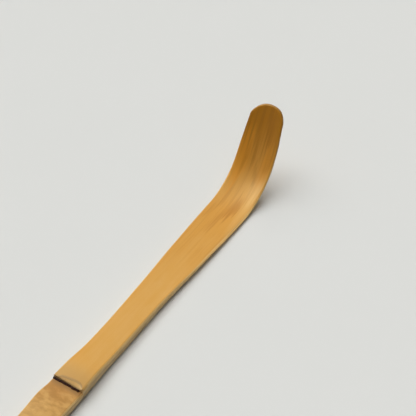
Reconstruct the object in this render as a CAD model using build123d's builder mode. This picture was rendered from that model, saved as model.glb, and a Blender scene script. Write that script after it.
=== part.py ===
from build123d import *
from itertools import pairwise
from math import radians, sin
import os

os.makedirs("parts", exist_ok=True)

# A bamboo tea scoop: one split strip of culm wall, skin side up, steamed and bent into a scoop.
# +X points to the tip of the scoop, Y runs across the strip and the strip lies on Z = 0.

# Driving dimensions, in millimetres and degrees

# Lengths along the underside, from the node
handle_length = 91.4  # node to the cut end
shaft_length = 62.5  # node to the heel of the bend
blade_length = 14.4  # end of the bend to the tip

# The steamed bend, on its outside, and the slight curl left in the blade
bend_radius = 16.0
bend_angle = 59.2
blade_curl = 5.6

# Widths of the strip
end_width = 6.9
handle_width = 7.9
node_width = 7.8
shoulder_width = 7.35
waist_width = 7.5
throat_width = 9.2
heel_width = 10.4
bend_width = 10.4
tip_width = 9.05

# Heights of the top edges above the underside
end_height = 2.6
handle_height = 2.85
step_height = 2.45
ridge_height = 3.35
shoulder_height = 2.75
waist_height = 2.3
throat_height = 1.65
heel_height = 1.1
bend_height = 1.05
tip_height = 0.85

# Crown of the top face: the culm's own roundness on the shaft, a dish where it is below zero
culm_crown = 0.16
waist_crown = 0.06
throat_crown = -0.1
heel_crown = -0.25
scoop_crown = -0.4
tip_crown = -0.3

# Heights of the foot of the carved sides above the underside: upright down to it, and bevelled below it
rest_foot = 0.25
node_foot = 0.55
waist_foot = 0.45
throat_foot = 0.85
heel_foot = 0.55
bend_foot = 0.5
tip_foot = 0.35

# Width of the flat along the back
shaft_flat = 5.2
heel_flat = 7.0
blade_flat = 6.0

# Bevel that the knife leaves along the top edges, and round the cut end
bevel_width = 0.36
bevel_height = 0.25
end_chamfer = 0.45

# The underside is planed flat where it rests, and arched under the node
planed_depth = 0.25
blade_swell = 0.2  # of the back of the blade, below its own line
arch_span = 34.0
arch_depth = 0.35

# The rounded tip, seen square to the blade
tip_round = 6.15
tip_outline_width = 10.55

# The node
ridge_run = 11.0  # from the step to where the swelling has died away
ridge_top = 4.0  # length of the swelling's level top
step_run = 8.0  # from the step to where the handle is at its full height
scar_thickness = 0.7
scar_root = 0.5  # depth that the scar is set below the handle's skin
scar_stand = 0.4  # height that it stands above that skin
scar_short = 0.7  # from its right end to the right side of the strip
shave_depth = 0.5  # of the facet above the scar, at the step
shave_slope = 30.0
shave_tilt = 2.5
skin_thickness = 0.35
diaphragm_radius = 1.1

# Places along the shaft and the handle, as shares of their lengths
waist_share = 0.44
throat_share = 0.72
handle_share = 0.4

# Material past an end or a side that a cut takes off
spare = 1.5

# Cross-sections that each length of the strip is lofted through
shaft_section_count = 40
handle_section_count = 30

# Places that follow from the sizes, counted along the underside from the node
blade_radius = blade_length / radians(blade_curl)
bend_reach = bend_radius * sin(radians(bend_angle))
blade_reach = blade_radius * (sin(radians(bend_angle + blade_curl)) - sin(radians(bend_angle)))
swell_reach = blade_swell * sin(radians(bend_angle + blade_curl))
node_x = (handle_length - shaft_length - bend_reach - blade_reach - swell_reach) / 2
waist = waist_share * shaft_length
throat = throat_share * shaft_length
bend_end = shaft_length + bend_radius * radians(bend_angle)
tip = bend_end + blade_length
spare_curl = blade_curl * spare / blade_length
scar_right = scar_short - node_width / 2
scar_left = node_width / 2 + spare

# The line along the middle of the underside, from the cut end to just past the tip
with BuildLine(Plane.XZ) as underside:
    shaft_line = Line((node_x - handle_length, 0), (node_x + shaft_length, 0))
    bend_line = JernArc(shaft_line @ 1, shaft_line % 1, bend_radius, bend_angle)
    blade_line = JernArc(bend_line @ 1, bend_line % 1, blade_radius, blade_curl + spare_curl)

# How the section changes along each length: pairs of a place and a value
handle_widths = [
    (-handle_length, end_width),
    (-handle_share * handle_length, handle_width),
    (0, node_width),
]
handle_heights = [
    (-handle_length, end_height),
    (-handle_share * handle_length, handle_height),
    (-step_run, handle_height),
    (0, step_height),
]
shaft_widths = [
    (0, node_width),
    (ridge_run, shoulder_width),
    (waist, waist_width),
    (throat, throat_width),
    (shaft_length, heel_width),
    (bend_end, bend_width),
    (tip + spare, tip_width),
]
shaft_heights = [
    (0, ridge_height),
    (ridge_top, ridge_height),
    (ridge_run, shoulder_height),
    (waist, waist_height),
    (throat, throat_height),
    (shaft_length, heel_height),
    (bend_end, bend_height),
    (tip + spare, tip_height),
]
crowns = [
    (ridge_run, culm_crown),
    (waist, waist_crown),
    (throat, throat_crown),
    (shaft_length, heel_crown),
    (bend_end, scoop_crown),
    (tip + spare, tip_crown),
]
feet = [
    (-handle_length, rest_foot),
    (-arch_span / 2, rest_foot),
    (0, node_foot),
    (arch_span / 2, rest_foot),
    (waist, waist_foot),
    (throat, throat_foot),
    (shaft_length, heel_foot),
    (bend_end, bend_foot),
    (tip + spare, tip_foot),
]
flats = [(waist, shaft_flat), (shaft_length, heel_flat), (bend_end, blade_flat)]
backs = [(throat, -planed_depth), (bend_end, -blade_swell)]


def meeting_slope(before, after):
    """The slope where two runs meet: level where they turn, and otherwise their harmonic mean."""
    return 2 * before * after / (before + after) if before * after > 0 else 0


def flowing(stops, place):
    """The value at a place on a smooth curve through the stops that overshoots none of them."""
    if place <= stops[0][0]:
        return stops[0][1]
    if place >= stops[-1][0]:
        return stops[-1][1]
    slopes = [(after[1] - before[1]) / (after[0] - before[0]) for before, after in pairwise(stops)]
    tangents = [slopes[0], *(meeting_slope(*pair) for pair in pairwise(slopes)), slopes[-1]]
    span = next(index for index, stop in enumerate(stops[1:]) if place <= stop[0])
    (start, first), (end, last) = stops[span : span + 2]
    share = (place - start) / (end - start)
    blend = share * share * (3 - 2 * share)
    leaving = share * (1 - share) ** 2 * tangents[span]
    arriving = share * share * (share - 1) * tangents[span + 1]
    return first + (last - first) * blend + (leaving + arriving) * (end - start)


def back_height(place):
    """The height of the back at a place: arched under the node, and elsewhere with something left to plane off."""
    arch = arch_depth * (1 - (2 * place / arch_span) ** 2)
    return max(arch, flowing(backs, place))


def plane_at(place):
    """The plane square to the strip at a place, with its X across and its Y up."""
    path = underside.wire()
    along = handle_length + place
    return Plane(
        origin=path.position_at(along, position_mode=PositionMode.LENGTH),
        x_dir=(0, 1, 0),
        z_dir=path.tangent_at(along, position_mode=PositionMode.LENGTH),
    )


# The blade's face at the tip, with its Y back towards the bend
tip_plane = Plane(origin=plane_at(tip).origin, x_dir=(0, 1, 0), z_dir=plane_at(tip).y_dir)

# The knife's path over the ridge: up from the scar, and lower on the right
shave_height = ridge_height + culm_crown - shave_depth
shave_plane = Plane((node_x, 0, shave_height)).rotated((shave_tilt, -shave_slope, 0))


def strip_section(place, widths, heights):
    """The strip's outline at a place: crowned or dished top, bevels, upright sides and a flat back."""
    half = flowing(widths, place) / 2
    top_half = half - bevel_width
    height = flowing(heights, place)
    side_top = height - bevel_height
    side_foot = flowing(feet, place)
    flat_half = flowing(flats, place) / 2
    back = back_height(place)
    with BuildSketch(plane_at(place)) as section:
        with BuildLine():
            ThreePointArc((-top_half, height), (0, height + flowing(crowns, place)), (top_half, height))
            Polyline(
                (top_half, height),
                (half, side_top),
                (half, side_foot),
                (flat_half, back),
                (-flat_half, back),
                (-half, side_foot),
                (-half, side_top),
                (-top_half, height),
            )
        make_face()
    return section.sketch


def skin_section(place, widths, heights):
    """The space that the skin takes at a place: everything above its lower face."""
    half = flowing(widths, place) / 2
    crown = flowing(crowns, place)
    outer = half + spare
    ceiling = flowing(heights, place) + spare
    middle = flowing(heights, place) + crown - skin_thickness
    outer_height = middle - crown * (outer / (half - bevel_width)) ** 2
    with BuildSketch(plane_at(place)) as section:
        with BuildLine():
            ThreePointArc((-outer, outer_height), (0, middle), (outer, outer_height))
            Polyline((outer, outer_height), (outer, ceiling), (-outer, ceiling), (-outer, outer_height))
        make_face()
    return section.sketch


def lofted(section, first, last, count, widths, heights):
    """A solid through evenly spaced sections, between two places on the strip."""
    places = [first + (last - first) * index / (count - 1) for index in range(count)]
    with BuildPart() as body:
        loft(sections=[section(place, widths, heights) for place in places])
    return body.part


# The whole strip, before it is parted into its tissues
with BuildPart() as strip:
    add(lofted(strip_section, 0, tip + spare, shaft_section_count, shaft_widths, shaft_heights))
    add(lofted(strip_section, -handle_length, 0, handle_section_count, handle_widths, handle_heights))
    # Planed flat where it rests
    split(bisect_by=Plane.XY, keep=Keep.TOP)
    # Rounded at the tip, with a knife held square to the blade
    with BuildSketch(tip_plane):
        with Locations((0, tip_round)):
            Rectangle(tip_outline_width + spare, tip_round + 2 * spare, align=(Align.CENTER, Align.MAX))
            Ellipse(tip_outline_width / 2, tip_round, mode=Mode.SUBTRACT)
    extrude(amount=tip_height + spare, both=True, mode=Mode.SUBTRACT)
    # Shaved above the scar, through the skin
    with BuildSketch(shave_plane):
        Rectangle(ridge_run, 2 * node_width, align=(Align.MIN, Align.CENTER))
    extrude(amount=ridge_height, mode=Mode.SUBTRACT)
    # Eased round the cut end
    chamfer(faces().sort_by(Axis.X)[0].edges(), length=end_chamfer)

# The spaces that part the strip into its tissues
upper_skin_space = lofted(skin_section, 0, tip + spare, shaft_section_count, shaft_widths, shaft_heights)
lower_skin_space = lofted(skin_section, -handle_length, 0, handle_section_count, handle_widths, handle_heights)

with BuildPart() as scar_space:
    with BuildSketch(plane_at(0)):
        with BuildLine():
            scar_top = ThreePointArc(
                (scar_right, step_height + scar_stand),
                (0, step_height + scar_stand + culm_crown),
                (scar_left, step_height + scar_stand),
            )
            scar_foot = ThreePointArc(
                (scar_right, step_height - scar_root),
                (0, step_height - scar_root + culm_crown),
                (scar_left, step_height - scar_root),
            )
            Line(scar_top @ 0, scar_foot @ 0)
            Line(scar_top @ 1, scar_foot @ 1)
        make_face()
    extrude(amount=-scar_thickness)

with BuildPart() as flesh:
    add(strip.part)
    add(upper_skin_space, mode=Mode.SUBTRACT)
    add(lower_skin_space, mode=Mode.SUBTRACT)
    add(scar_space.part, mode=Mode.SUBTRACT)

with BuildPart() as diaphragm_space:
    with BuildSketch(Plane.XZ):
        with Locations((node_x, arch_depth)):
            Circle(diaphragm_radius)
    extrude(amount=node_width, both=True)

# Skin of the internode above the node, from the step to the tip
with BuildPart() as upper_skin:
    add(strip.part)
    add(upper_skin_space, mode=Mode.INTERSECT)
upper_skin.part.label = "upper_skin"
export_step(upper_skin.part, "parts/upper_skin.step")

# Skin of the internode below the node, from the scar to the cut end
with BuildPart() as lower_skin:
    add(strip.part)
    add(lower_skin_space, mode=Mode.INTERSECT)
    add(scar_space.part, mode=Mode.SUBTRACT)
lower_skin.part.label = "lower_skin"
export_step(lower_skin.part, "parts/lower_skin.step")

# Corky line where the culm sheath grew on, set in at the foot of the step
with BuildPart() as sheath_scar:
    extrude(strip_section(0, shaft_widths, shaft_heights), amount=-scar_thickness)
    add(scar_space.part, mode=Mode.INTERSECT)
sheath_scar.part.label = "sheath_scar"
export_step(sheath_scar.part, "parts/sheath_scar.step")

# Root of the inner wall of the node, across the back
with BuildPart() as diaphragm_root:
    add(flesh.part)
    add(diaphragm_space.part, mode=Mode.INTERSECT)
diaphragm_root.part.label = "diaphragm_root"
export_step(diaphragm_root.part, "parts/diaphragm_root.step")

# Fibrous flesh of the culm wall, unbroken from the cut end to the tip
with BuildPart() as bamboo_core:
    add(flesh.part)
    add(diaphragm_space.part, mode=Mode.SUBTRACT)
bamboo_core.part.label = "bamboo_core"
export_step(bamboo_core.part, "parts/bamboo_core.step")
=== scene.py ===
"""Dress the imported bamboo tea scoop: its skins, flesh, scar and diaphragm, on a pale studio floor."""

import logging
from collections.abc import Callable
from dataclasses import astuple, dataclass
from enum import Enum
from functools import cached_property, partialmethod
from itertools import pairwise
from math import pi, radians

import bpy
import numpy as np
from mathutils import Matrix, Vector, noise


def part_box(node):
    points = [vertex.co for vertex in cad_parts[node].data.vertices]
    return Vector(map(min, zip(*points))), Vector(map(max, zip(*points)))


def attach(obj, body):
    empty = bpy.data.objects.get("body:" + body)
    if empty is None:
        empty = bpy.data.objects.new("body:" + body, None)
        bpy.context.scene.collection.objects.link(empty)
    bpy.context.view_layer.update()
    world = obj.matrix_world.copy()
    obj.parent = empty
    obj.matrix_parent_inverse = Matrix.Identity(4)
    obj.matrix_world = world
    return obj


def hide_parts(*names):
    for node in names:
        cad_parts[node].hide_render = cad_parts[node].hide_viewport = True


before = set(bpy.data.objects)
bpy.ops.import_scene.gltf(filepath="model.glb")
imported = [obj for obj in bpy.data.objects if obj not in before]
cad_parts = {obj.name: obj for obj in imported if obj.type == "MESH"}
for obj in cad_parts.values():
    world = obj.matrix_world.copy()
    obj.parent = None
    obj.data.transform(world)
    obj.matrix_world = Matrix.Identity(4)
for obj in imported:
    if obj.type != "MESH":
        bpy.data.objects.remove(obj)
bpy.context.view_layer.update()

log = logging.getLogger("tea_scoop")

Grid = np.ndarray
Socket = bpy.types.NodeSocket
Groups = dict[str, bpy.types.NodeTree]
Pair = tuple[float, float]
Triple = tuple[float, float, float]
Colour = tuple[float, float, float]
Runs = tuple[tuple[float, int], ...]

METRES = 0.001  # metres in a millimetre
LEAST = 1e-6  # keeps a share above zero
MIDDLE = 0.5  # of the range of a noise
MIX_SHARE, MIX_FIRST, MIX_SECOND, MIX_RESULT = 0, 6, 7, 2  # sockets of a mix of colours

# Every point of the strip carries its place along, its place across and its depth below the culm's own
# surface, in millimetres, so that grain and colour follow the strip round its bend.
PLACE_ATTRIBUTE = "strip_place"

# Places along the underside where the form changes, in millimetres from the node
CUT_END = -91.4
HANDLE_FULL = -36.56
ARCH_END = 17.0
SHOULDER = 11.0
WAIST = 27.5
THROAT = 45.0
HEEL = 62.5
BEND_END = 79.03
PAST_TIP = 94.93

WHITE: Colour = (1.0, 1.0, 1.0)
# Painted light: the paler gold of the bend's right half, where its dished face turns towards the light
PAINTED_LIGHT_GOLD: Colour = (0.84, 0.52, 0.17)
FLUSHED: Colour = (0.50, 0.175, 0.012)
TOASTED: Colour = (0.40, 0.14, 0.003)
FIRED: Colour = (0.92, 0.35, 0.012)


class Tissue(Enum):
    """Tissues of the bamboo strip. Each value is the material slot that the record gives it."""

    FLESH = "flesh"
    UPPER_SKIN = "upper_skin"
    LOWER_SKIN = "lower_skin"
    SCAR = "scar"
    DIAPHRAGM = "diaphragm"


# The form of the strip


@dataclass(frozen=True)
class Flow:
    """A value that runs smoothly along the strip through stops, pairs of a place and the value there."""

    stops: tuple[Pair, ...]

    def at(self, place: Grid) -> Grid:
        """Read the flowing value.

        Args:
            place: Places along the strip.

        Returns:
            The value at each place.
        """
        along, values = np.array(self.stops).T
        runs = np.diff(along)
        slopes = np.diff(values) / runs
        product = slopes[:-1] * slopes[1:]
        total = np.where(product > 0, slopes[:-1] + slopes[1:], 1.0)
        meeting = np.where(product > 0, 2 * product / total, 0.0)
        tangents = np.concatenate((slopes[:1], meeting, slopes[-1:]))
        place = np.clip(place, along[0], along[-1])
        span = np.clip(np.searchsorted(along, place) - 1, 0, len(runs) - 1)
        share = (place - along[span]) / runs[span]
        blend = share**2 * (3 - 2 * share)
        leaving = share * (1 - share) ** 2 * tangents[span]
        arriving = share**2 * (share - 1) * tangents[span + 1]
        return values[span] + np.diff(values)[span] * blend + (leaving + arriving) * runs[span]


def flow(*stops: Pair) -> Flow:
    """Flow through stops that are given one by one."""
    return Flow(stops)


@dataclass(frozen=True)
class Internode:
    """A length of the strip on one side of the node: its width, and how high its top edges lie."""

    widths: Flow
    heights: Flow


@dataclass(frozen=True)
class Spots:
    """Points of the strip, in millimetres.

    Places count along the underside from the node, and are negative on the handle. Across is positive on the
    left, with the tip ahead.
    """

    place: Grid
    across: Grid
    length: Internode


@dataclass(frozen=True)
class Surface:
    """A grid of points in metres, with their places along, across and in depth in millimetres."""

    points: Grid
    places: Grid

    def followed_by(self, other: "Surface") -> "Surface":
        """Surface with the rows of another after its own."""
        points = np.concatenate((self.points, other.points))
        return Surface(points, np.concatenate((self.places, other.places)))


def rounded(distance: Grid, run: float, rise: Grid | float) -> Grid:
    """Height that a rounded edge of some run and rise takes off, at distances in from the edge."""
    share = np.clip(1 - distance / run, 0, 1)
    return rise * (1 - np.sqrt(1 - share**2))


def soft_greater(first: Grid, second: Grid, softness: float) -> Grid:
    """Greater of two values, with a corner of some softness where they cross."""
    return (first + second + np.sqrt((first - second) ** 2 + softness**2)) / 2


def ripple(along: Grid, across: Grid | float, seed: float) -> Grid:
    """Read a smooth uneven pattern.

    Args:
        along: Places along the pattern.
        across: Places across the pattern.
        seed: Slice of the pattern.

    Returns:
        Values of about -1 to 1.
    """
    along, across = np.broadcast_arrays(along, across)
    flat = [noise.noise((a, c, seed)) for a, c in zip(along.ravel(), across.ravel())]
    return np.array(flat).reshape(along.shape)


@dataclass(frozen=True)
class Shave:
    """Facet that a knife left above the scar, widest on the right, in millimetres.

    It starts at its upper edge, which leans and bows, and falls towards the node.
    """

    reach: float = 0.85
    lean: float = 0.15
    bow: float = 0.0065
    bow_power: float = 4.0
    middle: float = 0.2
    fall: float = 0.577

    def edge(self, across: "Grid | Value") -> "Grid | Value":
        """Places along of the facet's upper edge, below the node where there is no facet."""
        return self.reach - self.lean * across - self.bow * abs(across - self.middle) ** self.bow_power


@dataclass(frozen=True)
class ScarLine:
    """Run of the sheath scar across the strip, in millimetres: how thick it is, and where it ends."""

    thickness: float = 0.5
    thinnest: float = 0.02
    right_end: float = -3.2
    taper: float = 0.4
    chip_at: float = -0.85
    chip_width: float = 0.22
    chip_share: float = 0.3
    uneven: float = 0.22
    wave: float = 1.4
    lane: float = 2.0
    seed: float = 1.5

    def weight(self, across: Grid) -> Grid:
        """Measure how much of the scar is left.

        Args:
            across: Places across the strip.

        Returns:
            Shares of its full size: none past its right end, and less at the chip in it.
        """
        rise = np.clip((across - self.right_end) / self.taper, 0, 1)
        chip = 1 - self.chip_share * np.exp(-(((across - self.chip_at) / self.chip_width) ** 2))
        return rise * rise * (3 - 2 * rise) * chip

    def front(self, across: Grid) -> Grid:
        """Places along the strip of the scar's lower edge."""
        uneven = 1 + self.uneven * ripple(across * self.wave, self.lane, self.seed)
        return -self.thinnest - self.thickness * self.weight(across) * uneven


@dataclass(frozen=True)
class StripForm:
    """The carved strip, in millimetres and radians.

    Args:
        node_x: Where the node lies in the frame.
    """

    node_x: float
    handle_length: float = -CUT_END
    shaft_length: float = HEEL
    blade_length: float = 14.4
    bend_radius: float = 16.0
    bend_angle: float = radians(59.2)
    blade_curl: float = radians(5.6)
    above: Internode = Internode(
        widths=flow(
            (0.0, 7.8), (SHOULDER, 7.35), (WAIST, 7.5), (THROAT, 9.2),
            (HEEL, 10.4), (BEND_END, 10.4), (PAST_TIP, 9.05),
        ),
        heights=flow(
            (0.0, 3.35), (4.0, 3.35), (SHOULDER, 2.75), (WAIST, 2.3), (THROAT, 1.65),
            (HEEL, 1.1), (BEND_END, 1.05), (PAST_TIP, 0.85),
        ),
    )
    below: Internode = Internode(
        widths=flow((CUT_END, 6.9), (HANDLE_FULL, 7.9), (0.0, 7.8)),
        heights=flow((CUT_END, 2.6), (HANDLE_FULL, 2.85), (-8.0, 2.85), (0.0, 2.45)),
    )
    crowns: Flow = flow(
        (SHOULDER, 0.16), (WAIST, 0.06), (THROAT, -0.1), (HEEL, -0.25), (BEND_END, -0.4), (PAST_TIP, -0.3)
    )
    feet: Flow = flow(
        (CUT_END, 0.25), (-ARCH_END, 0.25), (0.0, 0.55), (ARCH_END, 0.25), (WAIST, 0.45),
        (THROAT, 0.85), (HEEL, 0.55), (BEND_END, 0.5), (PAST_TIP, 0.35),
    )
    flats: Flow = flow((WAIST, 5.2), (HEEL, 7.0), (BEND_END, 6.0))
    backs: Flow = flow((THROAT, -0.25), (BEND_END, -0.2))
    left_insets: Flow = flow(
        (-16.0, 0.0), (-9.5, -0.18), (-5.2, -0.4), (-1.0, -0.04), (3.0, 0.0),
        (9.0, 0.2), (16.0, 0.3), (22.0, 0.22), (29.0, 0.0),
    )
    right_insets: Flow = flow((79.0, 0.0), (84.0, 0.12), (88.5, 0.4), (94.0, 0.5))
    bevel_width: float = 0.44
    bevel_height: float = 0.4
    right_bevels: Flow = flow((33.0, 0.4), (46.0, 0.16), (72.0, 0.16), (80.0, 0.4))
    edge_planes: Flow = flow((31.0, 0.0), (40.0, 0.65), (52.0, 1.0), (62.0, 0.95), (70.0, 0.6), (77.0, 0.0))
    edge_fall: float = 0.2
    lower_edge: float = 0.16
    end_round: float = 0.45
    arch_span: float = 2 * ARCH_END
    arch_depth: float = 0.35
    band_radius: float = 1.1
    no_recess: float = -1.0
    tip_round: float = 6.15
    tip_half: float = 5.275
    tip_power: float = 2.0
    right_tip_power: float = 2.5
    shave: Shave = Shave()
    scar: ScarLine = ScarLine()
    skin: float = 0.35
    thinnest_skin: float = 0.05
    facet_softness: float = 0.025
    level_softness: float = 0.05
    bevel_softness: float = 0.1
    stroke_depth: float = 0.035
    stroke_length: float = 6.5
    stroke_width: float = 2.2
    stroke_seed: float = 4.5
    side_wander: float = 0.03
    side_wave: float = 11.0
    left_lane: float = 3.0
    right_lane: float = 8.0
    side_seed: float = 0.5

    @property
    def bend_end(self) -> float:
        """Place where the bend runs into the blade."""
        return self.shaft_length + self.bend_radius * self.bend_angle

    @property
    def tip(self) -> float:
        """Place of the tip."""
        return self.bend_end + self.blade_length

    @property
    def tip_start(self) -> float:
        """Place where the rounding of the tip starts."""
        return self.tip - self.tip_round

    @property
    def blade_radius(self) -> float:
        """Radius of the slight curl left in the blade."""
        return self.blade_length / self.blade_curl

    def spine(self, place: Grid) -> tuple[Grid, Grid, Grid]:
        """Follow the middle of the underside.

        Args:
            place: Places along the strip.

        Returns:
            X, Z and the angle that the strip has turned up through.
        """
        bend = np.clip((place - self.shaft_length) / self.bend_radius, 0, self.bend_angle)
        angle = bend + np.clip((place - self.bend_end) / self.blade_radius, 0, None)
        x = self.node_x + np.minimum(place, self.shaft_length) + self.bend_radius * np.sin(bend)
        x = x + self.blade_radius * (np.sin(angle) - np.sin(bend))
        z = self.bend_radius * (1 - np.cos(bend)) + self.blade_radius * (np.cos(bend) - np.cos(angle))
        return x, z, angle

    def end_inset(self, place: Grid) -> Grid:
        """Rounding of the cut end, taken off all round it."""
        return rounded(place + self.handle_length, self.end_round, self.end_round)

    def half(self, place: Grid, length: Internode, left: Grid) -> Grid:
        """Measure from the middle line to a side.

        Args:
            place: Places along the strip.
            length: Internode that the places are on.
            left: True for the left side and false for the right, at each place.

        Returns:
            Half widths, with the slight wander of a side cut by hand.
        """
        lane = np.where(left, self.left_lane, self.right_lane)
        wander = 1 + ripple(place / self.side_wave, lane, self.side_seed)
        inset = np.where(left, self.left_insets.at(place), self.right_insets.at(place))
        drawn_in = self.side_wander * wander / 2 + inset
        return length.widths.at(place) / 2 - self.end_inset(place) - drawn_in

    def tip_curve(self, across: Grid) -> tuple[Grid, Grid]:
        """Find the curve of the tip, which is rounder on the right.

        Args:
            across: Places across the strip.

        Returns:
            Half width of the curve, and its power: 2 for an ellipse and more for a squarer curve.
        """
        left = across > 0
        right_half = self.half(np.array([self.tip_start]), self.above, np.array([False]))
        half = np.where(left, self.tip_half, right_half)
        return half, np.where(left, self.tip_power, self.right_tip_power)

    def tip_place(self, across: Grid) -> Grid:
        """Find where the rounded tip ends.

        Args:
            across: Places across the strip.

        Returns:
            Places along the strip.
        """
        half, power = self.tip_curve(across)
        ahead = np.clip(1 - (np.abs(across) / half) ** power, 0, 1) ** (1 / power)
        return self.tip - self.tip_round * (1 - ahead)

    def rim(self, at: Spots) -> Grid:
        """Measure how far in from the outline points are, from the sides and from the rounded tip.

        Args:
            at: Points of the strip.

        Returns:
            Distances to the nearest edge.
        """
        from_side = self.half(at.place, at.length, at.across > 0) - np.abs(at.across)
        half, power = self.tip_curve(at.across)
        aside = np.abs(at.across) / half
        ahead = np.maximum(at.place - self.tip_start, LEAST) / self.tip_round
        whole = aside**power + ahead**power
        slope = np.hypot(aside ** (power - 1) / half, ahead ** (power - 1) / self.tip_round)
        from_tip = (1 - whole ** (1 / power)) / (whole ** (1 / power - 1) * slope)
        from_tip = np.where(at.place > self.tip_start, from_tip, from_side)
        return np.clip(np.minimum(from_side, from_tip), 0, None)

    def natural(self, at: Spots) -> Grid:
        """Height of the culm's own surface, before any edge or facet is cut."""
        top_half = at.length.widths.at(at.place) / 2 - self.bevel_width
        return at.length.heights.at(at.place) + self.crowns.at(at.place) * (1 - (at.across / top_half) ** 2)

    def top(self, at: Spots) -> Grid:
        """Find the top face, with its rounded edges, the planed right edge and the facet above the scar.

        Args:
            at: Points of the strip.

        Returns:
            Heights above the underside.
        """
        natural = self.natural(at)
        rim = self.rim(at)
        right = at.across < 0
        rise = np.where(right, self.right_bevels.at(at.place), self.bevel_height)
        height = natural - self.end_inset(at.place) - rounded(rim, self.bevel_width, rise)
        if at.length is self.above:
            facet = natural - self.shave.fall * (self.shave.edge(at.across) - at.place)
            height = -soft_greater(-height, -facet, self.facet_softness)
            planed = np.clip(self.edge_planes.at(at.place) - rim, 0, None) * right
            height = height - self.edge_fall * planed
        return height

    def under(self, at: Spots) -> Grid:
        """Height where the skin passes into the flesh."""
        return np.minimum(self.natural(at) - self.skin, self.top(at) - self.thinnest_skin)

    def arch(self, place: Grid) -> Grid:
        """Height of the arch under the node, below zero past its span."""
        return self.arch_depth * (1 - (2 * place / self.arch_span) ** 2)

    def recess(self, place: Grid) -> Grid:
        """Height of the half-round recess for the diaphragm's root, below zero where there is none."""
        inside = np.sqrt(np.clip(self.band_radius**2 - place**2, 0, None))
        return np.where(np.abs(place) < self.band_radius, self.arch_depth + inside, self.no_recess)

    def back(self, at: Spots) -> Grid:
        """Find the back, with its planed flat, its arch, its lower bevels and the strokes of the knife.

        Args:
            at: Points of the strip.

        Returns:
            Heights above the underside.
        """
        place = at.place
        _, z, angle = self.spine(place)
        rest = np.maximum(self.backs.at(place), -z / np.cos(angle))
        level = soft_greater(rest, self.arch(place), self.level_softness)
        flat = np.maximum(self.backs.at(place), self.arch(place))
        start = self.flats.at(place) / 2
        steepness = (self.feet.at(place) - flat) / (at.length.widths.at(place) / 2 - start)
        bevel = (np.abs(at.across) - start) * steepness + flat
        height = soft_greater(bevel, level, self.bevel_softness)
        height = height + rounded(self.rim(at), self.lower_edge, self.lower_edge)
        strokes = 1 + ripple(place / self.stroke_length, at.across / self.stroke_width, self.stroke_seed)
        return height + self.end_inset(place) + self.stroke_depth * strokes / 2

    def surface(self, at: Spots, height: Grid) -> Surface:
        """Set points on the strip.

        Args:
            at: Points of the strip.
            height: Their heights above the underside, square to it.

        Returns:
            The points in the frame, with their places and depths.
        """
        place, across, height = np.broadcast_arrays(at.place, at.across, height)
        x, z, angle = self.spine(place)
        points = np.stack((x - height * np.sin(angle), across, z + height * np.cos(angle)), axis=-1)
        return Surface(points * METRES, np.stack((place, across, self.natural(at) - height), axis=-1))


@dataclass(frozen=True)
class Block:
    """A closed solid between a top and a back, with walls of several layers round it.

    Both run from the handle end to the tip end and from right to left. Edges past the crease stay sharp.
    """

    top: Surface
    back: Surface
    layers: int = 2
    crease: float = radians(38.0)

    def mesh(self, name: str) -> bpy.types.Mesh:
        """Weave the six faces of the block into one mesh.

        Args:
            name: Name of the mesh.

        Returns:
            The closed mesh, with the place of every point.
        """
        rows, columns = self.top.points.shape[:2]
        grid = np.arange(rows * columns).reshape(rows, columns)
        ring = np.concatenate((grid[:-1, 0], grid[-1, :-1], grid[:0:-1, -1], grid[0, :0:-1]))
        sides = [np.concatenate((side.points, side.places), axis=-1) for side in (self.top, self.back)]
        top, back = (side.reshape(grid.size, -1) for side in sides)
        shares = np.linspace(0, 1, self.layers + 1)[1:-1, None, None]
        walls = top[ring] * (1 - shares) + back[ring] * shares
        points, places = np.hsplit(np.concatenate((top, back, walls.reshape(-1, top.shape[1]))), 2)
        between = 2 * grid.size + np.arange(len(walls) * ring.size).reshape(-1, ring.size)
        levels = np.concatenate((ring[None], between, ring[None] + grid.size))
        quads = np.stack((grid[:-1, :-1], grid[1:, :-1], grid[1:, 1:], grid[:-1, 1:]), axis=-1)
        quads = quads.reshape(-1, quads.shape[-1])
        faces = [quads, quads[:, ::-1] + grid.size]
        for upper, lower in pairwise(levels):
            faces.append(np.stack((upper, lower, np.roll(lower, -1), np.roll(upper, -1)), axis=-1))
        mesh = bpy.data.meshes.new(name)
        mesh.from_pydata(points.tolist(), [], np.concatenate(faces).tolist())
        marks = mesh.attributes.new(PLACE_ATTRIBUTE, "FLOAT_VECTOR", "POINT")
        marks.data.foreach_set("vector", places.ravel())
        mesh.shade_smooth()
        mesh.set_sharp_from_angle(angle=self.crease)
        mesh.update()
        return mesh


def steps(start: float, *runs: tuple[float, int]) -> Grid:
    """Space places evenly in several runs, one after another.

    Args:
        start: First place.
        runs: End of each run, and the number of steps in it.

    Returns:
        The places in order.
    """
    parts = []
    for end, count in runs:
        parts.append(np.linspace(start, end, count, endpoint=False))
        start = end
    return np.concatenate((*parts, [start]))


def arc_shares(count: int) -> Grid:
    """Shares from 0 to 1 that crowd towards 1, as steps round a quarter circle do."""
    return np.sin(np.linspace(0, pi / 2, count + 1))


# Node trees


@dataclass(frozen=True)
class Value:
    """An output in a node tree that sums can be written with."""

    bench: "Bench"
    socket: Socket

    def worked(self, operation: str, *others: "Value | float") -> "Value":
        """Result of an operation on this value and others."""
        return self.bench.math(operation, self, *others)

    def __rsub__(self, other: float) -> "Value":
        """Difference from a number."""
        return self.bench.math("SUBTRACT", other, self)

    __add__ = partialmethod(worked, "ADD")
    __sub__ = partialmethod(worked, "SUBTRACT")
    __mul__ = partialmethod(worked, "MULTIPLY")
    __rmul__ = __mul__
    __truediv__ = partialmethod(worked, "DIVIDE")
    __pow__ = partialmethod(worked, "POWER")
    __abs__ = partialmethod(worked, "ABSOLUTE")


Inputs = dict[str | int, object]
Outputs = dict[str, Value]


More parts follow.
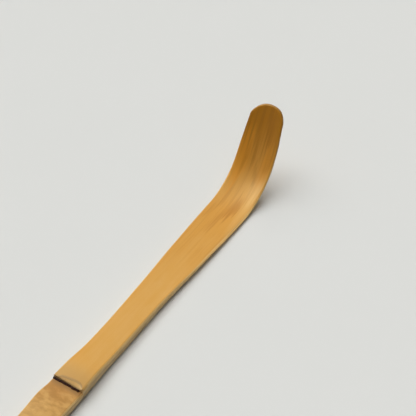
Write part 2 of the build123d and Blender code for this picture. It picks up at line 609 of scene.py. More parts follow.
@dataclass(frozen=True)
class Bench:
    """A node tree in the making, with short ways to add nodes and join them."""

    tree: bpy.types.NodeTree

    def add(self, kind: str, inputs: Inputs | None = None, **settings: object) -> bpy.types.Node:
        """Add a node.

        Args:
            kind: Type of the node.
            inputs: What goes into it, by the name or number of the input.
            settings: Its properties.

        Returns:
            The node.
        """
        node = self.tree.nodes.new(kind)
        for name, value in settings.items():
            setattr(node, name, value)
        for name, value in (inputs or {}).items():
            self.feed(node.inputs[name], value)
        return node

    def feed(self, socket: Socket, value: object) -> None:
        """Join a socket to an output, or set its value.

        Args:
            socket: The input to feed.
            value: An output, a number, a colour or a vector.
        """
        if isinstance(value, Value):
            self.tree.links.new(value.socket, socket)
        elif socket.type == "RGBA":
            socket.default_value = (*value, 1.0)
        else:
            socket.default_value = value

    def out(self, node: bpy.types.Node, name: str | int = 0) -> Value:
        """Output of a node, by its name or number."""
        return Value(self, node.outputs[name])

    def math(self, operation: str, *values: object) -> Value:
        """Result of a sum on values."""
        return self.out(self.add("ShaderNodeMath", dict(enumerate(values)), operation=operation))

    def vector(self, operation: str, *values: object) -> Value:
        """Result of a sum on vectors."""
        return self.out(self.add("ShaderNodeVectorMath", dict(enumerate(values)), operation=operation))

    def parts(self, vector: Value) -> list[Value]:
        """Three parts of a vector."""
        return [Value(self, part) for part in self.add("ShaderNodeSeparateXYZ", {0: vector}).outputs]

    def layered(self, colour: Value | Colour, *layers: tuple[Value, Value | Colour]) -> Value:
        """Lay colours over one another.

        Args:
            colour: The lowest colour.
            layers: Share and colour of each one above it, from the lowest up.

        Returns:
            The colour that shows.
        """
        for share, over in layers:
            inputs = {MIX_SHARE: share, MIX_FIRST: colour, MIX_SECOND: over}
            colour = self.out(self.add("ShaderNodeMix", inputs, data_type="RGBA"), MIX_RESULT)
        return colour

    def noise(self, vector: Value, detail: float, roughness: float = 0.5, distortion: float = 0.0) -> Value:
        """Cloud of noise with features one unit wide and values round one half."""
        inputs = dict(Vector=vector, Scale=1.0, Detail=detail, Roughness=roughness, Distortion=distortion)
        return self.out(self.add("ShaderNodeTexNoise", inputs))


@dataclass(frozen=True)
class Ease:
    """Smooth change of a result from least to most, while a value goes from low to high."""

    low: float
    high: float
    least: float = 0.0
    most: float = 1.0

    def of(self, value: Value) -> Value:
        """Result at a value."""
        inputs = {"Value": value} | dict(zip(("From Min", "From Max", "To Min", "To Max"), astuple(self)))
        return value.bench.out(value.bench.add("ShaderNodeMapRange", inputs, interpolation_type="SMOOTHSTEP"))


NOISE_RANGE = Ease(0.3, 0.7)  # most of what a noise gives, spread from 0 to 1
FIBRE_RANGE = Ease(0.28, 0.72)  # the same for the fine fibres
BLUSH_RUN = Ease(30.0, 63.0)  # where the fire starts to show, and where it shows fully
SCORCH_RUN = Ease(74.0, 91.5)  # the same for its darkest brown
BUNDLE_CORE = Ease(0.12, 0.42, 1.0, 0.0)  # from the core of a fibre bundle outwards
FACEWISE: Triple = (1.0, 1.0, 0.0)  # along and across, without depth
SIDEWISE: Triple = (0.0, 1.0, 1.0)  # across and in depth, without length


# Effects that several tissues share


def lengthwise_streaks(bench: Bench, place: Value, width: Value, seed: Value) -> Outputs:
    """Draw broad streaks and fine fibres that run along the strip, through its depth.

    Args:
        bench: The group's bench.
        place: Place along, across and depth.
        width: Width of the broad streaks.
        seed: Where in the noise they are taken from.

    Returns:
        The broad streaks and the fibres.
    """
    drawn_out = (0.045, 1.0, 1.0)
    fibre_count = (0.09, 8.0, 8.0)
    moved = bench.vector("ADD", place, bench.vector("MULTIPLY", seed, FACEWISE))
    narrow = bench.vector("DIVIDE", bench.vector("MULTIPLY", moved, drawn_out), width)
    broad = bench.noise(narrow, detail=3.0, roughness=0.55, distortion=0.3)
    fibre = bench.noise(bench.vector("MULTIPLY", moved, fibre_count), detail=3.0, roughness=0.6)
    return {"Broad": NOISE_RANGE.of(broad), "Fibre": FIBRE_RANGE.of(fibre)}


def fibre_bundles(bench: Bench, place: Value, spacing: Value) -> Outputs:
    """Draw bundles of fibre: lines along a cut face and dots on a cut end.

    Args:
        bench: The group's bench.
        place: Place along, across and depth.
        spacing: Distance from bundle to bundle.

    Returns:
        The bundles, and a shade that differs from one to the next.
    """
    waviness = (0.05, 0.3, 0.3)
    drawn_out = (0.012, 1.0, 1.0)
    reach = 0.6
    wander = bench.noise(bench.vector("MULTIPLY", place, waviness), detail=1.0)
    sway = bench.vector("MULTIPLY", (wander - MIDDLE) * reach, SIDEWISE)
    swayed = bench.vector("ADD", bench.vector("MULTIPLY", place, drawn_out), sway)
    inputs = {"Vector": bench.vector("DIVIDE", swayed, spacing), "Scale": 1.0}
    cells = bench.add("ShaderNodeTexVoronoi", inputs, feature="F1")
    shade = bench.parts(bench.out(cells, "Color"))[0]
    return {"Bundle": BUNDLE_CORE.of(bench.out(cells, "Distance")), "Cell": shade}


def culm_mottle(bench: Bench, place: Value, sizes: Value) -> Outputs:
    """Soft clouds of some size along, across and in depth."""
    cloud = bench.noise(bench.vector("DIVIDE", place, sizes), detail=3.0, roughness=0.55, distortion=0.1)
    return {"Cloud": NOISE_RANGE.of(cloud)}


def heat_tone(bench: Bench, place: Value, streak: Value, raggedness: Value) -> Outputs:
    """Browning from the fire, ragged along the streaks: a blush from the shaft on, a scorch at the tip."""
    along = bench.parts(place)[0] + (streak - MIDDLE) * raggedness
    return {"Blush": BLUSH_RUN.of(along), "Scorch": SCORCH_RUN.of(along)}


def knife_chatter(bench: Bench, place: Value, closeness: Triple = (1.1, 0.35, 0.35)) -> Outputs:
    """Faint ripples that a knife leaves across the fibres of a cut face."""
    ripples = bench.vector("MULTIPLY", place, closeness)
    return {"Ripple": bench.noise(ripples, detail=2.0, roughness=0.6, distortion=0.5)}


def grouped(maker: Callable[..., Outputs], inputs: dict[str, object]) -> bpy.types.NodeTree:
    """Build a shared effect as a shader node group.

    Args:
        maker: Function that draws the effect.
        inputs: What goes into the group, by name.

    Returns:
        The group's node tree.
    """
    tree = bpy.data.node_groups.new(maker.__name__.replace("_", " ").title(), "ShaderNodeTree")
    for name, value in inputs.items():
        vector = name == "place" or isinstance(value, tuple)
        kind = "NodeSocketVector" if vector else "NodeSocketFloat"
        tree.interface.new_socket(name=name.title(), in_out="INPUT", socket_type=kind)
    bench = Bench(tree)
    given = bench.add("NodeGroupInput")
    drawn = maker(bench, **{name: bench.out(given, name.title()) for name in inputs})
    for name in drawn:
        tree.interface.new_socket(name=name, in_out="OUTPUT", socket_type="NodeSocketFloat")
    bench.add("NodeGroupOutput", drawn)
    return tree


@dataclass(frozen=True)
class Ground(Bench):
    """A material in the making, and the shared effects that have been built so far."""

    groups: Groups

    @cached_property
    def place(self) -> Value:
        """Place along, across and depth of the point that is shaded."""
        return self.out(self.add("ShaderNodeAttribute", attribute_name=PLACE_ATTRIBUTE), "Vector")

    @cached_property
    def axes(self) -> list[Value]:
        """Place along, place across and depth, each by itself."""
        return self.parts(self.place)

    def effect(self, maker: Callable[..., Outputs], **inputs: object) -> Outputs:
        """Place a shared effect in the material.

        Args:
            maker: Function that draws the effect.
            inputs: What goes into it besides the place, by name.

        Returns:
            Its outputs by name.
        """
        given = {"place": self.place, **inputs}
        if maker.__name__ not in self.groups:
            self.groups[maker.__name__] = grouped(maker, given)
        named = {name.title(): value for name, value in given.items()}
        node = self.add("ShaderNodeGroup", named, node_tree=self.groups[maker.__name__])
        return {socket.name: Value(self, socket) for socket in node.outputs}


# Finishes


@dataclass(frozen=True)
class Look:
    """What a finish shows: its colour, its roughness and, where it has one, the height of its relief."""

    colour: Value
    roughness: Value | float
    height: Value | None = None


@dataclass(frozen=True)
class Finish:
    """What every finish has. Its relief is how far it reaches, in millimetres, and how much of it shows."""

    name: str
    gloss: float
    relief: Pair = (0.0, 0.0)
    sheen: Colour = WHITE

    def look(self, ground: Ground) -> Look:
        """Each finish has a look of its own."""
        raise NotImplementedError

    def material(self, groups: Groups) -> bpy.types.Material:
        """Make the material.

        Args:
            groups: Shared effects that have been built, by name.

        Returns:
            The material.
        """
        material = bpy.data.materials.new(self.name)
        material.use_nodes = True
        ground = Ground(material.node_tree, groups)
        shader = next(node for node in material.node_tree.nodes if node.type == "BSDF_PRINCIPLED")
        look = self.look(ground)
        ground.feed(shader.inputs["Base Color"], look.colour)
        ground.feed(shader.inputs["Roughness"], look.roughness)
        ground.feed(shader.inputs["Specular IOR Level"], self.gloss)
        ground.feed(shader.inputs["Specular Tint"], self.sheen)
        if look.height is not None:
            reach, strength = self.relief
            inputs = {"Strength": strength, "Distance": reach * METRES, "Height": look.height}
            ground.feed(shader.inputs["Normal"], ground.out(ground.add("ShaderNodeBump", inputs)))
        return material


@dataclass(frozen=True)
class FleshFinish(Finish):
    """Knife-cut bamboo flesh: pale and matt, with fibre bundles, and lighter under the skin: denser fibres
    and painted light.
    """

    name: str = "bamboo_flesh"
    gloss: float = 0.35
    relief: Pair = (0.03, 0.35)
    pale: Colour = (0.66, 0.48, 0.245)
    warm: Colour = (0.56, 0.37, 0.16)
    bundle: Colour = (0.33, 0.18, 0.065)
    # Denser fibres just under the skin, made lighter with painted light, so the upper side walls look lit and
    # the lower ones darker
    dense: Colour = (0.90, 0.58, 0.215)
    toasted: Colour = (0.60, 0.33, 0.09)
    scorched: Colour = (0.36, 0.15, 0.012)
    streak_width: float = 0.7
    streak_seed: float = 3.0
    bundle_spacing: float = 0.42
    bundle_share: Ease = Ease(0.0, 1.0, 0.2, 0.8)
    raggedness: float = 5.0
    dense_painted_light_share: Ease = Ease(0.3, 1.5, 0.85, 0.0)
    toasted_share: float = 0.4
    scorched_share: float = 0.9
    chatter: float = 0.5
    roughness: Ease = Ease(0.25, 0.75, 0.5, 0.68)

    def tinted(self, ground: Ground) -> tuple[Value, Value]:
        """Colour the cut flesh.

        Args:
            ground: Material that shows the flesh.

        Returns:
            The colour, and the bundles' height.
        """
        _, _, depth = ground.axes
        streaks = ground.effect(lengthwise_streaks, width=self.streak_width, seed=self.streak_seed)
        bundles = ground.effect(fibre_bundles, spacing=self.bundle_spacing)
        heat = ground.effect(heat_tone, streak=streaks["Broad"], raggedness=self.raggedness)
        marked = bundles["Bundle"] * self.bundle_share.of(bundles["Cell"])
        colour = ground.layered(
            self.warm,
            (streaks["Broad"], self.pale),
            # Painted light: lighter near the surface, fading with depth down the side walls
            (self.dense_painted_light_share.of(depth), self.dense),
            (marked, self.bundle),
            (heat["Blush"] * self.toasted_share, self.toasted),
            (heat["Scorch"] * self.scorched_share, self.scorched),
        )
        return colour, marked

    def look(self, ground: Ground) -> Look:
        """Draw the flesh.

        Args:
            ground: The material.

        Returns:
            Its look.
        """
        colour, marked = self.tinted(ground)
        ripples = ground.effect(knife_chatter)["Ripple"]
        return Look(colour, self.roughness.of(ripples), ripples * self.chatter - marked)


@dataclass(frozen=True)
class SkinFinish(Finish):
    """Satin culm skin: gold with faint streaks, painted shade on the left, and cut flesh where its edges and
    facet go through it.
    """

    gloss: float = 0.85
    relief: Pair = (0.01, 0.03)
    sheen: Colour = (1.0, 0.9, 0.5)
    flesh: FleshFinish = FleshFinish()
    gold: Colour = (0.745, 0.375, 0.074)
    light_gold: Colour = (0.78, 0.43, 0.118)
    deep_gold: Colour = (0.72, 0.33, 0.047)
    by_node: Colour = (0.585, 0.305, 0.078)
    outline: Colour = (0.33, 0.175, 0.075)
    streak_width: float = 1.1
    streak_seed: float = 11.0
    streak_share: float = 0.45
    fibre_share: Ease = Ease(0.0, 1.0, 0.0, 0.2)
    # Darker towards the left: partly the skin's own more orange left edge, partly painted shade that evens
    # out the stronger light on the left half
    left_tone_and_shade_share: Ease = Ease(-0.5, 4.0, 0.0, 0.4)
    cloud_sizes: Triple = (6.0, 2.5, 2.5)
    cloud_share: float = 0.6
    node_share: Ease = Ease(1.0, 6.5, 0.95, 0.0)
    shave: Shave = Shave()
    lip_rise: Ease = Ease(-0.32, -0.04)
    lip_fall: Ease = Ease(0.1, 0.6, 1.0, 0.0)
    lip_share: Ease = Ease(0.1, 0.5, 0.0, 0.65)
    foot_rise: Ease = Ease(-0.1, 0.0)
    foot_fall: Ease = Ease(0.08, 0.4, 1.0, 0.0)
    foot_share: float = 0.65
    cut_depth: Ease = Ease(0.01, 0.09)
    kept_depth: Ease = Ease(33.0, 46.0, 0.0, 0.04)
    aged_share: Ease = Ease(1.0, 2.5, 0.65, 0.0)
    satin: Ease = Ease(0.0, 1.0, 0.33, 0.42)
    matt: float = 0.16
    bundle_depth: float = 2.0

    def skinned(self, ground: Ground) -> tuple[Value, Value]:
        """Colour the uncut skin.

        Args:
            ground: The material.

        Returns:
            The colour, and the fibres' height.
        """
        along, across, _ = ground.axes
        streaks = ground.effect(lengthwise_streaks, width=self.streak_width, seed=self.streak_seed)
        cloud = ground.effect(culm_mottle, sizes=self.cloud_sizes)["Cloud"]
        colour = ground.layered(
            self.gold,
            (cloud * self.cloud_share, self.light_gold),
            (streaks["Broad"] * self.streak_share, self.deep_gold),
            (self.fibre_share.of(streaks["Fibre"]), self.deep_gold),
            # Painted shade, together with the skin's own orange tone, darker towards the left
            (self.left_tone_and_shade_share.of(across), self.deep_gold),
            (self.node_share.of(abs(along)), self.by_node),
        )
        return colour, streaks["Fibre"]

    def lip(self, ground: Ground) -> Value:
        """Mark the browned lip along the facet's upper edge, and its foot along the scar.

        Args:
            ground: The material.

        Returns:
            The mark, from 0 to 1.
        """
        along, across, _ = ground.axes
        edge = self.shave.edge(across)
        past = along - edge
        brink = self.lip_rise.of(past) * self.lip_fall.of(past) * self.lip_share.of(edge)
        foot = self.foot_rise.of(along) * self.foot_fall.of(along) * self.foot_share
        return ground.math("MAXIMUM", brink, foot)

    def look(self, ground: Ground) -> Look:
        """Draw the skin, cut through at its edges and its facet.

        Args:
            ground: The material.

        Returns:
            Its look.
        """
        along, _, depth = ground.axes
        colour, fibre = self.skinned(ground)
        cut, marked = self.flesh.tinted(ground)
        through = self.cut_depth.of(depth - self.kept_depth.of(along))
        cut = ground.layered(cut, (self.aged_share.of(abs(along)), self.by_node))
        colour = ground.layered(colour, (through, cut), (self.lip(ground), self.outline))
        roughness = self.satin.of(fibre) + through * self.matt
        return Look(colour, roughness, fibre - marked * through * self.bundle_depth)


@dataclass(frozen=True)
class FireAndLightMark:
    """Soft mark on the skin, in millimetres, with the share of its tone that shows. Most are the fire's; one
    is painted light.
    """

    along: float
    across: float
    length: float
    width: float
    share: float
    tone: Colour

    def shade(self, along: Value, across: Value) -> Value:
        """Mark where it shows.

        Args:
            along: Place along the strip.
            across: Place across it.

        Returns:
            The mark, from 0 to its share.
        """
        off = (along - self.along) / (self.length / 2)
        aside = (across - self.across) / (self.width / 2)
        return Ease(0.0, 1.0, self.share, 0.0).of(off * off + aside * aside)


@dataclass(frozen=True)
class UpperSkinFinish(SkinFinish):
    """Skin above the node, browned by the fire towards the tip, with a flush of red and painted light low in
    the bend.
    """

    name: str = "upper_culm_skin"
    amber: Colour = (0.72, 0.315, 0.036)
    brown: Colour = (0.50, 0.188, 0.002)
    dark_streak: Colour = (0.35, 0.122, 0.001)
    broad_width: float = 2.6
    broad_seed: float = 41.0
    broad_drift: float = 3.0
    fine_width: float = 0.7
    fine_seed: float = 57.0
    fine_drift: float = 5.0
    fibre_sway: float = 0.5
    raggedness: float = 3.5
    amber_share: float = 0.6
    line_share: Ease = Ease(0.4, 1.0, 0.0, 0.28)
    dark_share: Ease = Ease(0.3, 1.0, 0.0, 0.4)
    marks: tuple[FireAndLightMark, ...] = (
        # The first mark is painted light, not fire: the paler right half of the bend
        FireAndLightMark(63.0, -3.6, 18.0, 3.2, 0.3, PAINTED_LIGHT_GOLD),
        FireAndLightMark(78.0, 3.6, 21.0, 5.6, 0.45, FIRED),
        FireAndLightMark(79.0, -3.4, 13.0, 4.0, 0.28, FIRED),
        FireAndLightMark(63.2, -1.1, 11.0, 3.4, 0.6, FLUSHED),
        FireAndLightMark(66.0, 2.5, 13.0, 1.1, 0.3, FLUSHED),
        FireAndLightMark(58.0, 0.5, 14.0, 1.6, 0.25, FLUSHED),
        FireAndLightMark(61.0, 3.6, 10.0, 1.3, 0.2, FLUSHED),
        FireAndLightMark(74.2, -1.2, 6.0, 2.6, 0.3, TOASTED),
        FireAndLightMark(78.2, 2.5, 9.0, 1.6, 0.25, TOASTED),
        FireAndLightMark(82.0, 0.6, 10.0, 1.4, 0.2, TOASTED),
        FireAndLightMark(86.5, -1.7, 10.0, 2.6, 0.45, TOASTED),
        FireAndLightMark(81.0, -3.4, 9.0, 1.2, 0.12, TOASTED),
    )

    def skinned(self, ground: Ground) -> tuple[Value, Value]:
        """Colour the uncut skin.

        Args:
            ground: The material.

        Returns:
            The colour, and the fibres' height.
        """
        colour, fibre = super().skinned(ground)
        along, across, _ = ground.axes
        broad = ground.effect(lengthwise_streaks, width=self.broad_width, seed=self.broad_seed)["Broad"]
        fine = ground.effect(lengthwise_streaks, width=self.fine_width, seed=self.fine_seed)["Broad"]
        heat = ground.effect(heat_tone, streak=broad, raggedness=self.raggedness)
        swayed = across + (fibre - MIDDLE) * self.fibre_sway
        drifted = along + (broad - MIDDLE) * self.broad_drift + (fine - MIDDLE) * self.fine_drift
        colour = ground.layered(
            colour,
            (heat["Blush"] * self.amber_share, self.amber),
            (heat["Scorch"], self.brown),
            (heat["Blush"] * self.line_share.of(fine), FLUSHED),
            *((mark.shade(drifted, swayed), mark.tone) for mark in self.marks),
            (heat["Scorch"] * self.dark_share.of(fine), self.dark_streak),
        )
        return colour, fibre


@dataclass(frozen=True)
class LowerSkinFinish(SkinFinish):
    """Skin below the node, reddish under the scar, with soft bands across it and painted light towards the
    right.
    """

    name: str = "lower_culm_skin"
    gold: Colour = (0.63, 0.325, 0.08)
    light_gold: Colour = (0.73, 0.41, 0.125)
    deep_gold: Colour = (0.55, 0.255, 0.05)
    reddish: Colour = (0.50, 0.205, 0.038)
    band: Colour = (0.41, 0.175, 0.03)
    browned: Colour = (0.33, 0.15, 0.045)
    band_sizes: Triple = (1.7, 3.2, 3.2)
    band_reach: Ease = Ease(-26.0, -3.0)
    dark_band: Ease = Ease(0.3, 1.0, 0.0, 0.55)
    light_band: Ease = Ease(0.0, 0.5, 0.35, 0.0)
    red_drift: float = 2.2
    red_reach: Ease = Ease(-6.5, -1.0)
    red_share: float = 0.75
    # Lighter towards the right: painted light that evens out the shade on the crown's right half, away from
    # the light
    right_painted_light_share: Ease = Ease(-3.5, -0.5, 0.3, 0.0)
    brown_share: Ease = Ease(-2.1, -0.6, 0.0, 0.95)

    def skinned(self, ground: Ground) -> tuple[Value, Value]:
        """Colour the uncut skin.

        Args:
            ground: The material.

        Returns:
            The colour, and the fibres' height.
        """
        colour, fibre = super().skinned(ground)
        along, across, _ = ground.axes
        cloud = ground.effect(culm_mottle, sizes=self.band_sizes)["Cloud"]
        near = self.band_reach.of(along)
        red = self.red_reach.of(along + cloud * self.red_drift)
        colour = ground.layered(
            colour,
            (red * self.red_share, self.reddish),
            # Painted light on the right half
            (self.right_painted_light_share.of(across), self.light_gold),
            (self.dark_band.of(cloud) * near, self.band),
            (self.light_band.of(cloud) * near, self.light_gold),
            (self.brown_share.of(along), self.browned),
        )
        return colour, fibre


@dataclass(frozen=True)
class ScarFinish(Finish):
    """Dark corky scar, torn and matt."""

    name: str = "sheath_scar"
    gloss: float = 0.25
    relief: Pair = (0.06, 0.6)
    dark: Colour = (0.034, 0.012, 0.006)
    crumb: Colour = (0.085, 0.034, 0.018)
    crumb_sizes: Triple = (0.16, 0.3, 0.3)
    crumb_share: Ease = Ease(0.35, 1.0)
    roughness: Ease = Ease(0.0, 1.0, 0.75, 0.92)

    def look(self, ground: Ground) -> Look:
        """Draw the scar.

        Args:
            ground: The material.

        Returns:
            Its look.
        """
        cork = ground.effect(culm_mottle, sizes=self.crumb_sizes)["Cloud"]
        colour = ground.layered(self.dark, (self.crumb_share.of(cork), self.crumb))
        return Look(colour, self.roughness.of(cork), cork)


@dataclass(frozen=True)
class DiaphragmFinish(Finish):
    """Root of the inner wall of the node: pithy, with fibres woven across the strip."""

    name: str = "node_diaphragm"
    gloss: float = 0.3
    relief: Pair = (0.05, 0.5)
    pale: Colour = (0.58, 0.42, 0.22)
    dark: Colour = (0.34, 0.20, 0.08)
    weave_sizes: Triple = (0.22, 1.6, 1.6)
    pith_sizes: Triple = (0.12, 0.12, 0.12)
    pith_share: Ease = Ease(0.0, 1.0, 0.55, 1.0)
    roughness: Ease = Ease(0.0, 1.0, 0.62, 0.8)

    def look(self, ground: Ground) -> Look:
        """Draw the diaphragm.

        Args:
            ground: The material.

        Returns:
            Its look.
        """
        weave = ground.effect(culm_mottle, sizes=self.weave_sizes)["Cloud"]
        pith = ground.effect(culm_mottle, sizes=self.pith_sizes)["Cloud"]
        mixed = weave * self.pith_share.of(pith)
        return Look(ground.layered(self.pale, (mixed, self.dark)), self.roughness.of(pith), mixed)


@dataclass(frozen=True)
class FloorFinish(Finish):
    """Smooth pale paper, hardly clouded."""

    name: str = "pale_floor"
    gloss: float = 0.0
    light: Colour = (0.80, 0.805, 0.775)
    shade: Colour = (0.785, 0.79, 0.76)
    closeness: Triple = (30.0, 30.0, 30.0)
    detail: float = 3.0
    roughness: float = 0.9

    def look(self, ground: Ground) -> Look:
        """Draw the paper.

        Args:
            ground: The material.

        Returns:
            Its look.
        """
        spot = ground.out(ground.add("ShaderNodeTexCoord"), "Object")
        cloud = ground.noise(ground.vector("MULTIPLY", spot, self.closeness), self.detail)
        return Look(ground.layered(self.light, (cloud, self.shade)), self.roughness)


# Pieces


@dataclass
class Piece:
    """A tissue of the strip, as one closed mesh that stands for a solid of the frame."""

    form: StripForm
    name: str
    node: str
    tissue: Tissue

    def build(self) -> Block:
        """Each piece has a closed form of its own."""
        raise NotImplementedError

    def dress(self, finish: bpy.types.Material) -> bpy.types.Object:
        """Make the object, give it its finish and set it in the frame.

        Args:
            finish: Its material.

        Returns:
            The piece.
        """
        piece = bpy.data.objects.new(self.name, self.build().mesh(self.name))
        bpy.context.scene.collection.objects.link(piece)
        piece.data.materials.append(finish)
        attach(piece, "root")
        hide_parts(self.node)
        return piece


@dataclass
class Skin(Piece):
    """Skin of the culm, from side to side of the strip, with closer columns over its rounded edges."""

    inner: int = 30
    outer: int = 6
    end_steps: int = 8
    end_gap: float = 1.0

    @property
    def run(self) -> float:
        """Width of the rounded edges."""
        return self.form.bevel_width

    def spread(self, place: Grid, length: Internode) -> Grid:
        """Set the columns across the strip at each row.

        Args:
            place: Places of the rows, in one column or in one for each column.
            length: Internode that the rows are on.

        Returns:
            Places across, by row and column.
        """
        edge = arc_shares(self.outer)[1:]
        rest = np.ones(self.outer)
        spans = np.concatenate((-rest, np.linspace(-1, 1, self.inner + 1), rest))
        rounds = np.concatenate((-edge[::-1], np.zeros(self.inner + 1), edge))
        half = self.form.half(place, length, spans > 0)
        return spans * (half - self.run) + rounds * self.run

    def handle_rows(self, turn: float, *runs: tuple[float, int]) -> Grid:
        """Lay out rows from the rounded cut end towards the node.

        Args:
            turn: Angle round the cut end's edge at which they start.
            runs: End of each run past the rounding, and the number of steps in it.

        Returns:
            Places along, in one column.
        """
        turned = 1 - np.cos(np.linspace(turn, pi / 2, self.end_steps))
        end = -self.form.handle_length + self.form.end_round * turned
        return np.concatenate((end, steps(end[-1] + self.end_gap, *runs)))[:, None]

    def spots(self) -> Spots:
        """Each skin has rows and columns of its own."""
        raise NotImplementedError

    def build(self) -> Block:
        """Skin between the carved top and the flesh."""
        at = self.spots()
        return Block(self.form.surface(at, self.form.top(at)), self.form.surface(at, self.form.under(at)))


@dataclass
class SkinAbove(Skin):
    """Skin of the culm above the node, from the step to the rounded tip."""

    name: str = "skin_above_node"
    node: str = "upper_skin"
    tissue: Tissue = Tissue.UPPER_SKIN
    start: float = 0.004
    runs: Runs = ((2.4, 30), (SHOULDER, 20), (57.0, 44))
    blade_rows: int = 52
    tip_zone: float = 9.0
    tip_rows: int = 22
    rim_rows: int = 7
    tip_tries: int = 6
    steepest: float = 3.0

    def spots(self) -> Spots:
        """Lay out the rows and columns, with the last rows drawn round the tip.

        Returns:
            The points.
        """
        form = self.form
        zone = form.tip - self.tip_zone
        plain = steps(self.start, *self.runs, (zone, self.blade_rows))[:, None]
        across = self.spread(plain, form.above)
        end = np.array([form.tip_start])
        for _ in range(self.tip_tries):
            end_across = self.spread(end, form.above)
            end = form.tip_place(end_across)
        slant = np.clip(np.gradient(end, end_across), -self.steepest, self.steepest)
        rim = form.bevel_width * np.sqrt(1 + slant**2)
        shares = np.linspace(0, 1, self.tip_rows, endpoint=False)[1:, None]
        blade = zone + shares * (end - rim - zone)
        brink = end - rim * (1 - arc_shares(self.rim_rows)[:, None])
        curved = np.concatenate((blade, brink))
        place = np.concatenate((np.broadcast_to(plain, across.shape), curved))
        return Spots(place, np.concatenate((across, self.spread(curved, form.above))), form.above)


@dataclass
class SkinBelow(Skin):
    """Skin of the culm below the node, from the cut end to the scar."""

    name: str = "skin_below_node"
    node: str = "lower_skin"
    tissue: Tissue = Tissue.LOWER_SKIN
    turn: float = 0.2
    runs: Runs = ((-20.0, 48),)
    near_rows: int = 24
    scar_zone: float = -2.5
    scar_rows: int = 14

    def spots(self) -> Spots:
        """Lay out the rows and columns, with the last rows drawn along the scar.

        Returns:
            The points.
        """
        form = self.form
        plain = self.handle_rows(self.turn, *self.runs, (self.scar_zone, self.near_rows))
        across = self.spread(plain, form.below)
        shares = np.linspace(0, 1, self.scar_rows + 1)[1:, None]
        curved = self.scar_zone + shares * (form.scar.front(across[-1]) - self.scar_zone)
        place = np.concatenate((np.broadcast_to(plain, across.shape), curved))
        across = np.concatenate((across, np.broadcast_to(across[-1], curved.shape)))
        return Spots(place, across, form.below)


@dataclass
class FleshStrip(SkinAbove):
    """Flesh of the culm wall, unbroken from the cut end to the tip, laid out like the skin above the node."""

    name: str = "flesh_strip"
    node: str = "bamboo_core"
    tissue: Tissue = Tissue.FLESH
    inner: int = 40
    outer: int = 5
    turn: float = 0.0
    handle_runs: Runs = ((-18.0, 50),)
    band_margin: float = 0.1
    arch_rows: int = 20
    band_rows: int = 16
    wall_layers: int = 9
    thinnest: float = 0.05

    @property
    def run(self) -> float:
        """Width of the rounded lower edges."""
        return self.form.lower_edge

    def filled(self, at: Spots) -> tuple[Surface, Surface]:
        """Find the flesh's top and back on one side of the node.

        Args:
            at: Points of the strip.

        Returns:
            The top, under the skin, and the back.
        """
        under = self.form.under(at)
        back = np.maximum(self.form.back(at), self.form.recess(at.place))
        edge = np.where(at.across * at.across[:, :1] > 0, under[:, :1], under[:, -1:])
        back = np.minimum(back, np.minimum(under, edge) - self.thinnest)
        return self.form.surface(at, under), self.form.surface(at, back)

    def build(self) -> Block:
        """Build the flesh on both sides of the node as one.

        Returns:
            Its closed form.
        """
        form = self.form
        brink = -form.band_radius - self.band_margin
        near = (brink, self.arch_rows), (-self.start, self.band_rows)
        below = self.handle_rows(self.turn, *self.handle_runs, *near)
        across = self.spread(below, form.below)
        handle = self.filled(Spots(np.broadcast_to(below, across.shape), across, form.below))
        blade = self.filled(self.spots())
        top, back = (low.followed_by(high) for low, high in zip(handle, blade))
        return Block(top, back, self.wall_layers)


@dataclass
class SheathScar(Piece):
    """Corky line where the culm sheath grew on, torn off above the skin."""

    name: str = "scar_ridge"
    node: str = "sheath_scar"
    tissue: Tissue = Tissue.SCAR
    side_at: float = -0.1
    stand: float = 0.42
    least_stand: float = 0.01
    crest_start: float = 0.12
    crest_span: float = 0.76
    tear: float = 0.09
    tear_waves: Pair = (3.1, 2.3)
    tear_seed: float = 6.5
    steps_across: int = 110
    steps_along: int = 7
    wall_layers: int = 4
    crease: float = radians(60.0)

    def build(self) -> Block:
        """Build the scar between the skins.

        Returns:
            Its closed form.
        """
        form = self.form
        scar = form.scar
        left = form.half(np.array([self.side_at]), form.below, np.array([True]))[0]
        across = np.linspace(scar.right_end, left, self.steps_across + 1)[None, :]
        shares = np.linspace(0, 1, self.steps_along + 1)[:, None]
        front = Spots(scar.front(across), across, form.below)
        at = Spots(front.place * (1 - shares), across, form.below)
        crest = np.sin(pi * (self.crest_start + self.crest_span * shares))
        wave_across, wave_along = self.tear_waves
        torn = self.tear * ripple(across * wave_across, shares * wave_along, self.tear_seed)
        raised = np.maximum(scar.weight(across) * (self.stand * crest + torn), self.least_stand)
        top = form.surface(at, form.top(front) + raised)
        return Block(top, form.surface(at, form.under(front)), self.wall_layers, self.crease)


@dataclass
class DiaphragmBand(Piece):
    """Root of the node's inner wall, a half-round band let in across the back."""

    name: str = "diaphragm_band"
    node: str = "diaphragm_root"
    tissue: Tissue = Tissue.DIAPHRAGM
    fill: float = 0.999
    thinnest: float = 0.012
    steps_along: int = 24
    steps_across: int = 48
    wall_layers: int = 3

    def build(self) -> Block:
        """Build the band in its recess.

        Returns:
            Its closed form.
        """
        form = self.form
        turn = np.linspace(0, pi, self.steps_along + 1)[:, None]
        place = -form.band_radius * self.fill * np.cos(turn)
        share = np.linspace(-1, 1, self.steps_across + 1)[None, :]
        at = Spots(place, share * form.half(place, form.below, share > 0), form.below)
        back = np.where(place > 0, form.back(Spots(place, at.across, form.above)), form.back(at))
        top = np.maximum(form.recess(place), back + self.thinnest)
        return Block(form.surface(at, top), form.surface(at, back), self.wall_layers)


# Studio


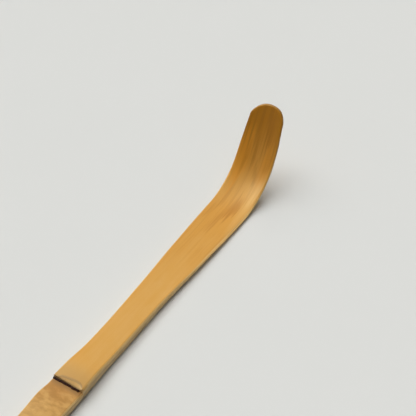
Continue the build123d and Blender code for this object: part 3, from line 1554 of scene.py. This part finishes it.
@dataclass
class Studio:
    """Pale floor, soft light and the camera, in millimetres."""

    floor_side: float = 4000.0
    camera_at: Triple = (-96.137, -100.320, 198.925)
    camera_aim: Triple = (65.948, 4.923, 0.0)
    lens: float = 97.12
    clip_start: float = 10.0
    backdrop: Colour = (0.70, 0.705, 0.68)
    sky: Ease = Ease(-0.2, 1.0, 0.02, 0.2)
    window_from: Triple = (205.0, 385.0, 870.0)
    window_angle: float = radians(62.0)
    window_strength: float = 2.6
    sheen_at: Triple = (-70.0, 780.0, 620.0)
    sheen_side: float = 750.0
    sheen_power: float = 9.6

    def lay_floor(self, finish: bpy.types.Material) -> None:
        """Lay the floor that the scoop rests on.

        Args:
            finish: Its material.
        """
        half = self.floor_side / 2 * METRES
        corners = [(-half, -half, 0), (half, -half, 0), (half, half, 0), (-half, half, 0)]
        mesh = bpy.data.meshes.new("floor")
        mesh.from_pydata(corners, [], [(0, 1, 2, 3)])
        mesh.materials.append(finish)
        floor = bpy.data.objects.new("floor", mesh)
        bpy.context.scene.collection.objects.link(floor)

    def raise_sky(self) -> None:
        """Make a sky that is brightest overhead, behind a plain pale backdrop."""
        world = bpy.data.worlds.new("studio")
        bpy.context.scene.world = world
        world.use_nodes = True
        bench = Bench(world.node_tree)
        nodes = {node.type: node for node in world.node_tree.nodes}
        up = bench.parts(bench.out(bench.add("ShaderNodeTexCoord"), "Generated"))[2]
        dome = nodes["BACKGROUND"]
        bench.feed(dome.inputs["Strength"], self.sky.of(up))
        bench.feed(dome.inputs["Color"], WHITE)
        backdrop = bench.add("ShaderNodeBackground", {"Color": self.backdrop})
        seen = bench.out(bench.add("ShaderNodeLightPath"), "Is Camera Ray")
        mixed = bench.add("ShaderNodeMixShader", {0: seen, 1: bench.out(dome), 2: bench.out(backdrop)})
        bench.feed(nodes["OUTPUT_WORLD"].inputs["Surface"], bench.out(mixed))

    def placed(self, data: bpy.types.ID, at: Triple, aim: Triple = (0.0, 0.0, 0.0)) -> bpy.types.Object:
        """Place a light or a camera that faces a point.

        Args:
            data: The light or camera.
            at: Where it stands.
            aim: Where it faces.

        Returns:
            Its object.
        """
        item = bpy.data.objects.new(data.name, data)
        item.location = Vector(at) * METRES
        item.rotation_euler = (Vector(aim) * METRES - item.location).to_track_quat("-Z", "Y").to_euler()
        bpy.context.scene.collection.objects.link(item)
        return item

    def light(self) -> None:
        """Light the scoop evenly from a wide window above it, with a sheen from its left and a dim sky."""
        self.raise_sky()
        window = bpy.data.lights.new("window_light", "SUN")
        window.angle = self.window_angle
        window.energy = self.window_strength
        self.placed(window, self.window_from).visible_glossy = False
        sheen = bpy.data.lights.new("sheen_light", "AREA")
        sheen.size = self.sheen_side * METRES
        sheen.energy = self.sheen_power
        self.placed(sheen, self.sheen_at).visible_diffuse = False

    def set_camera(self) -> None:
        """Set up the camera at the photograph's angle, and plain colours."""
        scene = bpy.context.scene
        camera = bpy.data.cameras.new("photo_angle")
        camera.lens = self.lens
        camera.clip_start = self.clip_start * METRES
        scene.camera = self.placed(camera, self.camera_at, self.camera_aim)
        scene.view_settings.view_transform = "Standard"
        scene.view_settings.look = "None"


def main() -> None:
    """Build the studio and the pieces in order, and report each one."""
    logging.basicConfig(level=logging.INFO, format="%(name)s: %(message)s")
    _, scar_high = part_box("sheath_scar")
    form = StripForm(node_x=scar_high.x / METRES)
    groups: Groups = {}
    studio = Studio()
    studio.lay_floor(FloorFinish().material(groups))
    studio.light()
    studio.set_camera()
    for piece, finish in (
        (FleshStrip(form), FleshFinish()),
        (SkinAbove(form), UpperSkinFinish()),
        (SkinBelow(form), LowerSkinFinish()),
        (SheathScar(form), ScarFinish()),
        (DiaphragmBand(form), DiaphragmFinish()),
    ):
        dressed = piece.dress(finish.material(groups))
        log.info("%s has %d faces", dressed.name, len(dressed.data.polygons))


if __name__ == "__main__":
    main()
